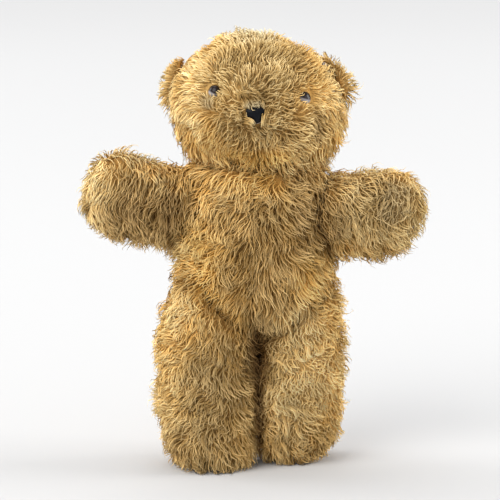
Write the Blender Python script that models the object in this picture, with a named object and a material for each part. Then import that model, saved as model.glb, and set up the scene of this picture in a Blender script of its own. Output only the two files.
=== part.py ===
"""A plush teddy bear with no joints: pile-fabric panels sewn into a head, a torso, two arms, two legs and
two ears. All but the ears are filled with stuffing. Eyes and nose are moulded buttons on shanks, each held
by a washer inside the plush. The bear faces -Y and stands on two flat soles, with the middle of its
footprint at the origin. Metres, +Z up."""

import math

import bmesh
import bpy
from mathutils import Matrix, Vector

# Plush and seams
PLUSH_DEPTH = 0.0070  # backing cloth and pile as it lies
SOLE_DEPTH = 0.0050
SEAM_GAP = 0.0003  # clearance that every pair of neighbours keeps
JOIN_GAP = 0.0007  # clearance where one stuffed form is cut to sit against another
HEAD_FILL_GAP = 0.0016  # the head's filling stays further back, clear of the flat facets in the face
FOOTPRINT_SHIFT = Vector((0.00021, 0.00799, 0.0))  # brings the middle of the bear's box over the origin

# Head: widest low down, flatter towards the crown
HEAD_CENTRE = Vector((0.0022, 0.0, 0.2905))
HEAD_HALF_WIDTH = 0.0665
HEAD_HALF_HEIGHT = 0.0555
HEAD_HALF_DEPTH = 0.0500
HEAD_FULLNESS = 2.2
JOWL_FLARE = 0.13  # share by which the chin is wider, and the crown narrower, than the middle
HEAD_LEAN = -0.09  # the crown stands this far to the side for each metre of height
MUZZLE_REACH = 0.0150
MUZZLE_SPREAD = 0.0340
MUZZLE_DROP = 0.0060
SOCKET_DEPTH = 0.0035  # how far each eye pulls the face in
SOCKET_SPREAD = 0.0120

# The gusset runs from under the nose over the crown to the nape, as angles round the head from the front
GUSSET_START = math.radians(-22)
GUSSET_END = math.radians(222)
GUSSET_HALF_WIDTH = 0.62  # radians of latitude at the crown
GUSSET_BLUNTNESS = 0.015  # share of its length missing from each pointed end

# Torso
TORSO_CENTRE = Vector((0.0, 0.002, 0.180))
TORSO_HALF_LENGTH = 0.0770
TORSO_HALF_WIDTH = 0.0610
TORSO_HALF_DEPTH = 0.0455
TORSO_FULLNESS = 2.7
BELLY_REACH = 0.0050
BELLY_SPREAD = 0.0450

# Arms, each given as (left, right)
ARM_CENTRES = (Vector((-0.0875, -0.002, 0.2130)), Vector((0.0880, -0.002, 0.2020)))
ARM_HALF_LENGTH = 0.0475
ARM_HALF_HEIGHT = 0.0335
ARM_RISES = (math.radians(11), math.radians(2.5))  # how far each arm points up from level
ARM_HALF_DEPTH = 0.0280
ARM_FULLNESS = 3.2

# Legs, each given as (left, right)
LEG_CENTRES = (Vector((-0.0380, -0.008, 0.0720)), Vector((0.0355, 0.004, 0.0720)))
LEG_HALF_WIDTHS = (0.0380, 0.0350)
LEG_HALF_DEPTH = 0.0375
LEG_TOP_LENGTH = 0.0860  # from the leg's middle to the point it runs up to inside the hip
LEG_FOOT_LENGTH = 0.0820  # from the leg's middle to the point it would round off to below the sole
LEG_FULLNESS = 3.0
FOOT_INWARD = 0.0040  # how far the foot stands nearer the middle than the knee
FOOTS_FORWARD = (0.0110, -0.0020)
SOLE_EDGE_ROUNDING = 0.0012

# Ears, each given as (left, right)
EAR_ROOTS = (Vector((-0.0490, 0.0060, 0.2980)), Vector((0.0490, 0.0050, 0.2980)))
EAR_OUTWARDS = (Vector((-0.64, 0.50, 0.56)), Vector((0.82, 0.26, 0.52)))  # the way each ear points
EAR_FACINGS = (Vector((-0.62, -0.72, 0.10)), Vector((0.18, -0.97, 0.10)))  # the way each inner face looks
EAR_HEIGHT = 0.0300
EAR_HALF_WIDTH = 0.0260
EAR_HALF_THICKNESS = 0.0065
EAR_CUP = 0.0060  # how far the rim curls forward at the ear's sides

# Eyes, each given as (left, right): latitude from the middle of the face, and angle up round the head
EYE_LATITUDES = (math.radians(-29.4), math.radians(35.4))
EYE_LIFTS = (math.radians(17.4), math.radians(11.6))
EYE_RADIUS = 0.0050
EYE_DOME = 0.0036
EYE_SUNK = 0.0034  # how far the eye's back is below the lying pile
SHANK_RADIUS = 0.0020
SHANK_LENGTH = 0.0090
WASHER_RADIUS = 0.0080
WASHER_THICKNESS = 0.0012

# Nose: a rounded triangle, point down
NOSE_HEIGHT_ABOVE_MIDDLE = -0.0018
NOSE_LATITUDE = math.radians(-0.8)
NOSE_MEAN_RADIUS = 0.0064
NOSE_CORNERS = 0.13  # how far the three corners stand out from a round
NOSE_STRETCH = 1.20  # width over height
NOSE_DOME = 0.0036
NOSE_SUNK = 0.0026

SIDES = (("left", -1), ("right", 1))
FRONT = Vector((0, -1, 0))
UP = Vector((0, 0, 1))
RIGHT = Vector((1, 0, 0))
RINGS = 12  # faces from pole to pole of a whole stuffed form
TURNS = 20  # faces round a whole stuffed form
BUTTON_SIDES = 16


def rounded(value, power):
    """A sine or cosine bent so that the round it draws becomes a fuller, squarer one."""
    return math.copysign(abs(value) ** (2 / power), value)


def bump(offset, spread):
    """1 at no offset, falling smoothly to nothing over about twice the spread."""
    return math.exp(-((offset / spread) ** 2))


class Form:
    """A stuffed shape between two poles. It has a length along one axis, a front and a side."""

    def __init__(self, centre, axes, lengths, half_front, half_side, fullness, shape=None):
        self.centre = centre
        self.axes = axes
        self.lengths = lengths  # from the centre to the first and the last pole
        self.half_front = half_front
        self.half_side = half_side
        self.fullness = fullness
        self.shape = shape

    def point(self, latitude, turn, inset=0.0):
        """The point at this latitude and turn, inset metres inside the surface. Turn 0 is the front."""
        along = rounded(math.sin(latitude), self.fullness)
        ring = rounded(math.cos(latitude), self.fullness)
        length = along * (self.lengths[along > 0] - inset)
        front = ring * math.cos(turn) * (self.half_front - inset)
        side = ring * math.sin(turn) * (self.half_side - inset)
        if self.shape:
            length, front, side = self.shape(length, front, side)
        return self.centre + length * self.axes[0] + front * self.axes[1] + side * self.axes[2]

    def outward(self, latitude, turn):
        """The outward normal there, from two short steps along the surface."""
        step = 0.01
        here = self.point(latitude, turn)
        across = self.point(latitude + step, turn) - here
        around = self.point(latitude, turn + step) - here
        normal = across.cross(around).normalized()
        return normal if normal.dot(here - self.centre) > 0 else -normal


def head_shape(length, front, side):
    """Jowls wider than the crown, a muzzle that stands forward, a dent round each eye and a slight lean."""
    rise = side / HEAD_HALF_HEIGHT
    length *= 1 - JOWL_FLARE * rise
    facing_front = max(0.0, front / HEAD_HALF_DEPTH)
    reach = MUZZLE_REACH * bump(math.hypot(length * 0.72, side + MUZZLE_DROP), MUZZLE_SPREAD)
    for latitude, lift in zip(EYE_LATITUDES, EYE_LIFTS):
        eye_length = HEAD_HALF_WIDTH * rounded(math.sin(latitude), HEAD_FULLNESS)
        eye_side = HEAD_HALF_HEIGHT * rounded(math.cos(latitude), HEAD_FULLNESS) * math.sin(lift)
        reach -= SOCKET_DEPTH * bump(math.hypot(length - eye_length, side - eye_side), SOCKET_SPREAD)
    return length + HEAD_LEAN * side, front + reach * facing_front, side


def torso_shape(length, front, side):
    """A belly that stands a little forward, low down."""
    facing_front = max(0.0, front / TORSO_HALF_DEPTH)
    reach = BELLY_REACH * bump(math.hypot(length + 0.3 * TORSO_HALF_LENGTH, side), BELLY_SPREAD)
    return length, front + reach * facing_front, side


def leg_shape(inward, forward):
    """The shape of a leg whose foot stands inward and forward of its knee."""

    def shaped(length, front, side):
        low = max(0.0, -length / LEG_FOOT_LENGTH)
        return length, front + forward * low, side + inward * FOOT_INWARD * low

    return shaped


def new_material(name, colour, roughness, metallic=0.0):
    material = bpy.data.materials.new(name)
    material.use_nodes = True
    shader = material.node_tree.nodes["Principled BSDF"]
    shader.inputs["Base Color"].default_value = (*colour, 1)
    shader.inputs["Roughness"].default_value = roughness
    shader.inputs["Metallic"].default_value = metallic
    return material


def new_object(name, mesh, material):
    """An object from a bmesh, with its doubles merged and its faces turned outwards."""
    bmesh.ops.remove_doubles(mesh, verts=mesh.verts, dist=1e-6)
    bmesh.ops.recalc_face_normals(mesh, faces=mesh.faces)
    data = bpy.data.meshes.new(name)
    mesh.to_mesh(data)
    mesh.free()
    data.shade_smooth()
    data.set_sharp_from_angle(angle=math.radians(50))
    data.materials.append(material)
    made = bpy.data.objects.new(name, data)
    bpy.context.scene.collection.objects.link(made)
    return made


def as_cutter(made):
    """Marks a helper that only shapes other pieces."""
    made.hide_render = True
    made.display_type = "WIRE"
    return made


def cut(pieces, *cutters):
    for piece in pieces:
        for cutter in cutters:
            boolean = piece.modifiers.new("cut by " + cutter.name, "BOOLEAN")
            boolean.operation = "DIFFERENCE"
            boolean.solver = "EXACT"
            boolean.object = cutter


def add_grid(mesh, corners, ring):
    """Vertices for a grid of corners, and its faces. A ring joins its last column to its first."""
    grid = [[mesh.verts.new(corner) for corner in row] for row in corners]
    columns = len(grid[0])
    for low, high in zip(grid, grid[1:]):
        for j in range(columns if ring else columns - 1):
            k = (j + 1) % columns
            mesh.faces.new((low[j], low[k], high[k], high[j]))
    return grid


def join_edges(mesh, outer, inner, ring):
    """The wall between one edge of a panel's outer face and the same edge of its inner face."""
    count = len(outer)
    for j in range(count if ring else count - 1):
        k = (j + 1) % count
        mesh.faces.new((outer[j], outer[k], inner[k], inner[j]))


def panel(name, material, corner, rows, columns, ring=False):
    """A sewn panel. corner(row share, column share, inner) gives its outer and its inner face."""
    mesh = bmesh.new()
    row_shares = [i / rows for i in range(rows + 1)]
    column_shares = [j / columns for j in range(columns if ring else columns + 1)]
    outer, inner = (
        add_grid(mesh, [[corner(i, j, side) for j in column_shares] for i in row_shares], ring)
        for side in (False, True)
    )
    join_edges(mesh, outer[0], inner[0], ring)
    if not ring:
        join_edges(mesh, outer[-1], inner[-1], ring)
        for column in (0, -1):
            join_edges(mesh, [row[column] for row in outer], [row[column] for row in inner], False)
    return new_object(name, mesh, material)


def between(low, high, share):
    return low + (high - low) * share


def whole(name, form, inset, material, finer=1):
    """The closed solid of a whole form, such as its stuffing or, with a negative inset, a cutter for it."""
    mesh = bmesh.new()
    rings, turns = round(finer * RINGS), round(finer * TURNS)
    latitudes = [between(-0.5, 0.5, i / rings) * math.pi for i in range(rings + 1)]
    angles = [2 * math.pi * j / turns for j in range(turns)]
    corners = [[form.point(latitude, angle, inset) for angle in angles] for latitude in latitudes]
    add_grid(mesh, corners, True)
    return new_object(name, mesh, material)


def lengthwise_panel(name, form, first_turn, last_turn, apart, columns, material):
    """A panel from pole to pole between two turns, moved apart from its neighbours by half a seam gap."""

    def corner(i, j, inner):
        latitude = between(-0.5, 0.5, i) * math.pi
        turn = between(first_turn, last_turn, j)
        return form.point(latitude, turn, PLUSH_DEPTH if inner else 0.0) + apart * (SEAM_GAP / 2)

    return panel(name, material, corner, RINGS, columns)


def front_and_back(part, form, material):
    """Two panels that meet along the form's sides."""
    quarter = math.pi / 2
    made = []
    for place, middle, apart in (("front", 0.0, FRONT), ("back", math.pi, -FRONT)):
        turns = (middle - quarter, middle + quarter)
        made.append(lengthwise_panel(f"{part}_{place}_panel", form, *turns, apart, TURNS // 2, material))
    return made


def button_ring(radius, height):
    """One ring of a button or washer. The radius is a number, or a function of the angle."""
    made = []
    for j in range(BUTTON_SIDES):
        angle = 2 * math.pi * j / BUTTON_SIDES
        reach = radius(angle) if callable(radius) else radius
        made.append(Vector((reach * math.cos(angle), reach * math.sin(angle), height)))
    return made


def button(name, material, outline, dome, stem, grow=0.0):
    """A moulded button. outline(angle) is the radius of its domed face, which looks along +Z. stem lists
    (radius, height) down what is behind the face. grow enlarges the face, for a cutter."""
    face_rings = 4
    bevel = 0.0005
    rings = [button_ring(0.0, dome + grow)]
    for i in range(1, face_rings + 1):
        fall = 0.5 * math.pi * i / face_rings
        height = bevel + (dome - bevel) * math.cos(fall) + grow
        rings.append(button_ring(lambda angle: math.sin(fall) * outline(angle) + grow, height))
    rings.append(button_ring(lambda angle: outline(angle) + grow, -grow))
    rings += [button_ring(radius, height) for radius, height in stem]
    rings.append(button_ring(0.0, stem[-1][1]))
    mesh = bmesh.new()
    add_grid(mesh, rings, True)
    return new_object(name, mesh, material)


def washer(name, material, middle):
    """A flat locking washer, pushed up the shank from inside. middle is its height on the shank."""
    hole, low, high = SHANK_RADIUS + SEAM_GAP, middle - WASHER_THICKNESS / 2, middle + WASHER_THICKNESS / 2
    section = ((hole, low), (WASHER_RADIUS, low), (WASHER_RADIUS, high), (hole, high), (hole, low))
    mesh = bmesh.new()
    add_grid(mesh, [button_ring(radius, height) for radius, height in section], True)
    return new_object(name, mesh, material)


def facing(place, normal):
    """The frame at a place whose Z is the normal and whose Y points as nearly up as it can."""
    across = UP.cross(normal).normalized()
    upward = normal.cross(across)
    turned = Matrix((across, upward, normal)).transposed().to_4x4()
    return Matrix.Translation(place) @ turned


def set_button(name, surface_place, normal, outline, dome, sunk, materials, around):
    """Puts a button and its washer through the plush, and cuts their room out of the pieces around them."""
    gap = SEAM_GAP
    middle = sunk - PLUSH_DEPTH - gap - WASHER_THICKNESS / 2
    low, high = middle - WASHER_THICKNESS / 2 - gap, middle + WASHER_THICKNESS / 2 + gap
    shank, wide, end = SHANK_RADIUS + gap, WASHER_RADIUS + gap, -SHANK_LENGTH - gap
    stem = ((SHANK_RADIUS, 0.0), (SHANK_RADIUS, -SHANK_LENGTH))
    room_stem = ((shank, -gap), (shank, high), (wide, high), (wide, low), (shank, low), (shank, end))
    made = button(name, materials[0], outline, dome, stem)
    held = washer(name.replace("eye", "eye_washer").replace("nose", "nose_washer"), materials[1], middle)
    room = as_cutter(button(name + "_room", materials[0], outline, dome, room_stem, gap))
    for placed in (made, held, room):
        placed.matrix_world = facing(surface_place - normal * sunk, normal)
    cut(around, room)


def eye_outline(angle):
    return EYE_RADIUS


def nose_outline(angle):
    """A round with three corners: one straight down and one up at each side."""
    corner = 1 + NOSE_CORNERS * math.cos(3 * (angle + math.pi / 2))
    stretch = math.hypot(NOSE_STRETCH * math.cos(angle), math.sin(angle))
    return NOSE_MEAN_RADIUS * corner * stretch


def gusset_edge(turn):
    """Latitude of the seam between the gusset and a side of the head, at this turn round the head."""
    share = (turn - GUSSET_START) / (GUSSET_END - GUSSET_START)
    if not 0.999 * GUSSET_BLUNTNESS < share < 1 - 0.999 * GUSSET_BLUNTNESS:
        return 0.0
    return GUSSET_HALF_WIDTH * math.sqrt(math.sin(math.pi * share))


def make_head(form, plush, filling):
    """Two side panels, the gusset between them and the stuffing."""
    edge_gap = 1.6 * SEAM_GAP / HEAD_HALF_WIDTH
    rows, chin_rows = 20, 7
    eased = [between(i / rows, 0.5 - 0.5 * math.cos(math.pi * i / rows), 0.6) for i in range(rows + 1)]
    shares = [between(GUSSET_BLUNTNESS, 1 - GUSSET_BLUNTNESS, share) for share in eased]
    gusset_turns = [between(GUSSET_START, GUSSET_END, share) for share in shares]
    chin = (gusset_turns[-1] + 2 * edge_gap, gusset_turns[0] + 2 * math.pi - 2 * edge_gap)
    side_turns = gusset_turns + [between(*chin, i / chin_rows) for i in range(chin_rows + 1)]

    def side_corner(side):
        def corner(i, j, inner):
            turn = side_turns[round(j * len(side_turns))]
            edge = gusset_edge(turn) + edge_gap
            latitude = side * between(edge, math.pi / 2, i**0.8)
            return form.point(latitude, turn, PLUSH_DEPTH if inner else 0.0)

        return corner

    def gusset_corner(i, j, inner):
        turn = gusset_turns[round(i * rows)]
        latitude = between(-1, 1, j) * (gusset_edge(turn) - edge_gap)
        return form.point(latitude, turn, PLUSH_DEPTH if inner else 0.0)

    sides = [
        panel(f"head_{name}_panel", plush, side_corner(side), 7, len(side_turns), ring=True)
        for name, side in SIDES
    ]
    gusset = panel("head_gusset", plush, gusset_corner, rows, 6)
    stuffing = whole("head_stuffing", form, PLUSH_DEPTH + HEAD_FILL_GAP, filling, 1.5)
    return [*sides, gusset, stuffing]


def make_torso(form, plush, filling):
    """Four panels that meet down the front, down the back and at the flanks, and the stuffing."""
    quarter = math.pi / 2
    made = [whole("torso_stuffing", form, PLUSH_DEPTH + SEAM_GAP, filling)]
    for side, sign in SIDES:
        for place, apart, start in (("front", FRONT, 0.0), ("back", -FRONT, quarter)):
            turns = sorted((sign * start, sign * (start + quarter)))
            name = f"torso_{place}_{side}_panel"
            made.append(lengthwise_panel(name, form, *turns, apart + sign * RIGHT, TURNS // 4, plush))
    return made


def make_limb(part, form, plush, filling):
    stuffing = whole(f"{part}_stuffing", form, PLUSH_DEPTH + SEAM_GAP, filling)
    return [*front_and_back(part, form, plush), stuffing]


def leg_level(z, form):
    """Latitude at which a leg's surface is at this height."""
    share = (form.centre.z - z) / LEG_FOOT_LENGTH
    return -math.asin(share ** (form.fullness / 2))


def make_sole(name, form, plush):
    """The oval sewn into the open end of the foot: flat below, with a slightly rounded lower edge."""
    mesh = bmesh.new()
    latitude = leg_level(SOLE_DEPTH, form)
    rim = [form.point(latitude, 2 * math.pi * j / TURNS) for j in range(TURNS)]
    middle = sum(rim, Vector()) / TURNS

    def ring(z, inset):
        level = [corner - (corner - middle).normalized() * inset for corner in rim]
        return [Vector((corner.x, corner.y, z)) for corner in level]

    sizes = ((SOLE_DEPTH, 0.0), (SOLE_EDGE_ROUNDING, 0.0), (0.0, SOLE_EDGE_ROUNDING))
    rings = [ring(z, inset) for z, inset in sizes]
    grid = add_grid(mesh, rings, True)
    mesh.faces.new(grid[0])
    mesh.faces.new(grid[-1])
    return new_object(name, mesh, plush)


def floor_cutter(material):
    """A slab that takes everything below the top of the soles from the legs."""
    mesh = bmesh.new()
    bmesh.ops.create_cube(mesh, size=1.0)
    top, size = SOLE_DEPTH + SEAM_GAP, 0.3
    bmesh.ops.scale(mesh, vec=(size, size, size), verts=mesh.verts)
    bmesh.ops.translate(mesh, vec=(0, 0, top - size / 2), verts=mesh.verts)
    return as_cutter(new_object("floor_cutter", mesh, material))


def make_ear(side, index, plush):
    """Two layers of plush, sewn together round the rim and cupped forward."""
    outward = EAR_OUTWARDS[index].normalized()
    facing_way = EAR_FACINGS[index]
    forward = (facing_way - outward * facing_way.dot(outward)).normalized()
    across = outward.cross(forward)
    made = []
    for place, sign in (("front", 1), ("back", -1)):

        def corner(i, j, inner, sign=sign):
            turn = between(-0.5, 0.5, j) * math.pi
            latitude = between(-0.5, 0.5, i) * math.pi
            width = EAR_HALF_WIDTH * math.sin(latitude)
            height = EAR_HEIGHT * math.cos(latitude) * math.sin(turn)
            depth = 0.0 if inner else EAR_HALF_THICKNESS * math.cos(latitude) * math.cos(turn)
            cupped = EAR_CUP * (math.hypot(width, height) / EAR_HALF_WIDTH) ** 2
            thick = sign * (depth + SEAM_GAP / 2) + cupped
            return EAR_ROOTS[index] + across * width + outward * height + forward * thick

        made.append(panel(f"ear_{side}_{place}_panel", plush, corner, 8, 8))
    return made


def build():
    for old in list(bpy.data.objects):
        bpy.data.objects.remove(old)

    plush = new_material("golden_plush", (0.62, 0.44, 0.20), 0.9)
    filling = new_material("kapok_stuffing", (0.78, 0.72, 0.60), 0.95)
    eye_plastic = new_material("eye_plastic", (0.05, 0.025, 0.015), 0.15)
    nose_plastic = new_material("nose_plastic", (0.008, 0.012, 0.022), 0.2)
    washer_plastic = new_material("washer_plastic", (0.75, 0.75, 0.72), 0.5)

    head_axes = (RIGHT, FRONT, UP)
    standing_axes = (UP, FRONT, RIGHT)
    head = Form(
        HEAD_CENTRE, head_axes, (HEAD_HALF_WIDTH, HEAD_HALF_WIDTH), HEAD_HALF_DEPTH, HEAD_HALF_HEIGHT,
        HEAD_FULLNESS, head_shape,
    )
    torso = Form(
        TORSO_CENTRE, standing_axes, (TORSO_HALF_LENGTH, TORSO_HALF_LENGTH), TORSO_HALF_DEPTH,
        TORSO_HALF_WIDTH, TORSO_FULLNESS, torso_shape,
    )
    head_room = as_cutter(whole("head_room", head, -JOIN_GAP, plush, 2))
    torso_room = as_cutter(whole("torso_room", torso, -JOIN_GAP, plush))
    floor = floor_cutter(plush)

    head_pieces = make_head(head, plush, filling)
    cut(make_torso(torso, plush, filling), head_room)

    for index, (side, sign) in enumerate(SIDES):
        rise = ARM_RISES[index]
        outward = Vector((sign * math.cos(rise), 0, math.sin(rise)))
        arm_axes = (outward, FRONT, outward.cross(FRONT) * -sign)
        arm = Form(
            ARM_CENTRES[index], arm_axes, (ARM_HALF_LENGTH, ARM_HALF_LENGTH), ARM_HALF_DEPTH,
            ARM_HALF_HEIGHT, ARM_FULLNESS,
        )
        cut(make_limb(f"arm_{side}", arm, plush, filling), torso_room, head_room)

        leg = Form(
            LEG_CENTRES[index], standing_axes, (LEG_FOOT_LENGTH, LEG_TOP_LENGTH), LEG_HALF_DEPTH,
            LEG_HALF_WIDTHS[index], LEG_FULLNESS, leg_shape(-sign, FOOTS_FORWARD[index]),
        )
        cut(make_limb(f"leg_{side}", leg, plush, filling), torso_room, floor)
        make_sole(f"sole_{side}", leg, plush)

        cut(make_ear(side, index, plush), head_room)

        latitude, lift = EYE_LATITUDES[index], EYE_LIFTS[index]
        set_button(
            f"eye_{side}", head.point(latitude, lift), head.outward(latitude, lift),
            eye_outline, EYE_DOME, EYE_SUNK, (eye_plastic, washer_plastic), head_pieces,
        )

    nose_turn = math.asin(NOSE_HEIGHT_ABOVE_MIDDLE / HEAD_HALF_HEIGHT)
    set_button(
        "nose", head.point(NOSE_LATITUDE, nose_turn), FRONT,
        nose_outline, NOSE_DOME, NOSE_SUNK, (nose_plastic, washer_plastic), head_pieces,
    )

    for made in bpy.data.objects:
        made.matrix_world = Matrix.Translation(FOOTPRINT_SHIFT) @ made.matrix_world


build()
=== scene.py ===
import math

import bmesh
import bpy
import numpy as np
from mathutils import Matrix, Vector
from mathutils.bvhtree import BVHTree


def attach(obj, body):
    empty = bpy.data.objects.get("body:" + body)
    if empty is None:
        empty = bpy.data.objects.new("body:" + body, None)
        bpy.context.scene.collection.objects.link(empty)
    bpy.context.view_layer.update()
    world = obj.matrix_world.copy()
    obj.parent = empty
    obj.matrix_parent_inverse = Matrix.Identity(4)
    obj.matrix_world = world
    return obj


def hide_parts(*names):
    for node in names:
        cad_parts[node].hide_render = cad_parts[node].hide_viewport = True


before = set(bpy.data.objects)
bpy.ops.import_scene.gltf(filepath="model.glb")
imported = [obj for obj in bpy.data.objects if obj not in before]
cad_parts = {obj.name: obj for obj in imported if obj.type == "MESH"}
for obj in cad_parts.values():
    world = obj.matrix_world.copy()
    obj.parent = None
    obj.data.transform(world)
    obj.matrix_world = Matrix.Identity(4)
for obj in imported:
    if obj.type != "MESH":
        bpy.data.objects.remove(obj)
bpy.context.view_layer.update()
perMetre = 1000  # the tables of places are in millimetres
weldDistance = 0.000001
print("frame loaded")

# The skin of every stuffed part. Each panel becomes one piece of backing cloth and one piece of pile.
stuffedParts = {
    "head": ("head_gusset", "head_left_panel", "head_right_panel"),
    "torso": (
        "torso_front_left_panel", "torso_front_right_panel", "torso_back_left_panel", "torso_back_right_panel",
    ),
    "arm_left": ("arm_left_front_panel", "arm_left_back_panel"),
    "arm_right": ("arm_right_front_panel", "arm_right_back_panel"),
    "leg_left": ("leg_left_front_panel", "leg_left_back_panel", "sole_left"),
    "leg_right": ("leg_right_front_panel", "leg_right_back_panel", "sole_right"),
    "ear_left": ("ear_left_front_panel", "ear_left_back_panel"),
    "ear_right": ("ear_right_front_panel", "ear_right_back_panel"),
}


def operator(operation, turned=False):  # turned: the wire stands behind the sign
    def apply(self, other):
        return self.combine(operation, other, self) if turned else self.combine(operation, self, other)

    return apply


class Wire:  # a node's output that can be used in arithmetic
    def __init__(self, graph, socket):
        self.graph = graph
        self.socket = socket

    def isVector(self):
        return self.socket.type in ("VECTOR", "RGBA")

    def combine(self, operation, first, second):
        def vectorLike(value):
            return value.isVector() if isinstance(value, Wire) else isinstance(value, (tuple, Vector))

        if not (vectorLike(first) or vectorLike(second)):
            return self.graph.wire("ShaderNodeMath", {"operation": operation}, {0: first, 1: second})
        if operation == "MULTIPLY" and not (vectorLike(first) and vectorLike(second)):
            arrow, size = (first, second) if vectorLike(first) else (second, first)
            return self.graph.wire("ShaderNodeVectorMath", {"operation": "SCALE"}, {0: arrow, 3: size})
        return self.graph.wire("ShaderNodeVectorMath", {"operation": operation}, {0: first, 1: second})

    def vector(self, operation, *others, output=0):
        inputs = dict(enumerate((self, *others)))
        return self.graph.wire("ShaderNodeVectorMath", {"operation": operation}, inputs, output)

    def unit(self):
        return self.vector("NORMALIZE")

    def length(self):
        return self.vector("LENGTH", output=1)

    def dot(self, other):
        return self.vector("DOT_PRODUCT", other, output=1)

    def cross(self, other):
        return self.vector("CROSS_PRODUCT", other)

    def atLeast(self, other):
        return self.combine("MAXIMUM", self, other)

    def split(self):
        made = self.graph.node("ShaderNodeSeparateXYZ", None, {0: self})
        return [Wire(self.graph, output) for output in made.outputs]

    def __neg__(self):
        return self * -1.0

    __add__ = __radd__ = operator("ADD")
    __mul__ = __rmul__ = operator("MULTIPLY")
    __sub__ = operator("SUBTRACT")
    __rsub__ = operator("SUBTRACT", turned=True)
    __truediv__ = operator("DIVIDE")
    __pow__ = operator("POWER")


class Graph:  # adds nodes to one tree, of a material or of geometry
    def __init__(self, tree, shader=None):
        self.tree = tree
        self.shader = shader

    def node(self, kind, settings=None, inputs=None):
        made = self.tree.nodes.new(kind)
        for name, value in (settings or {}).items():
            setattr(made, name, value)
        for name, value in (inputs or {}).items():
            if isinstance(value, Wire):
                self.tree.links.new(value.socket, made.inputs[name])
            else:
                made.inputs[name].default_value = value
        return made

    def wire(self, kind, settings=None, inputs=None, output=0):
        return Wire(self, self.node(kind, settings, inputs).outputs[output])

    def maths(self, operation, *values):
        return self.wire("ShaderNodeMath", {"operation": operation}, dict(enumerate(values)))

    def mix(self, share, first, second):  # two colours
        return self.wire("ShaderNodeMix", {"data_type": "RGBA"}, {0: share, 6: first, 7: second}, 2)

    def smooth(self, value, low, high):  # 0 below low, 1 above high
        settings = {"interpolation_type": "SMOOTHSTEP"}
        return self.wire("ShaderNodeMapRange", settings, {0: value, 1: low, 2: high, 3: 0.0, 4: 1.0})

    def noise(self, place, scale, detail=2.0):
        return self.wire("ShaderNodeTexNoise", None, {"Vector": place, "Scale": scale, "Detail": detail})

    def into(self, name, value):  # an input of the material's shader
        self.tree.links.new(value.socket, self.shader.inputs[name])

    def bump(self, height, distance):
        self.into("Normal", self.wire("ShaderNodeBump", None, {"Height": height, "Distance": distance}))

    def painted(self, name, output="Fac"):  # a stored value, read by a material
        return self.wire("ShaderNodeAttribute", {"attribute_name": name}, None, output)

    def named(self, name, kind="FLOAT"):  # a stored value, read in a geometry tree
        return self.wire("GeometryNodeInputNamedAttribute", {"data_type": kind}, {"Name": name})

    def arrow(self, name):
        return self.named(name, "FLOAT_VECTOR")

    def store(self, geometry, name, value, kind=None, domain="POINT"):
        settings = {"data_type": kind or ("FLOAT_VECTOR" if value.isVector() else "FLOAT"), "domain": domain}
        inputs = {"Geometry": geometry, "Name": name, "Value": value}
        return self.wire("GeometryNodeStoreNamedAttribute", settings, inputs)

    def chance(self, number, seed):  # three random numbers from 0 to 1
        settings = {"data_type": "FLOAT_VECTOR"}
        return self.wire("FunctionNodeRandomValue", settings, {"ID": number, "Seed": seed})

    def join(self, x, y, z):
        return self.wire("ShaderNodeCombineXYZ", None, {0: x, 1: y, 2: z})

    def pipe(self, kind, geometry, **inputs):  # geometry through one more node
        return self.wire(f"GeometryNode{kind}", None, {"Geometry": geometry, **inputs})


plushColours = {  # along the strands, and at their tips
    "plain": ((0.74, 0.415, 0.115), (0.97, 0.67, 0.27)),
    "golden": ((0.88, 0.46, 0.095), (1.00, 0.71, 0.26)),
    "pale": ((0.93, 0.62, 0.24), (1.00, 0.81, 0.43)),
    "straw": ((0.66, 0.445, 0.175), (0.95, 0.74, 0.38)),
    # grime colour, also used for painted shade in folds
    "grimeAndShade": ((0.36, 0.212, 0.070), (0.68, 0.460, 0.200)),
    # painted shade colour, for the hollows between parts
    "shaded": ((0.17, 0.085, 0.025), (0.36, 0.21, 0.08)),
    "ashen": ((0.54, 0.440, 0.250), (0.82, 0.720, 0.480)),
}
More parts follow.
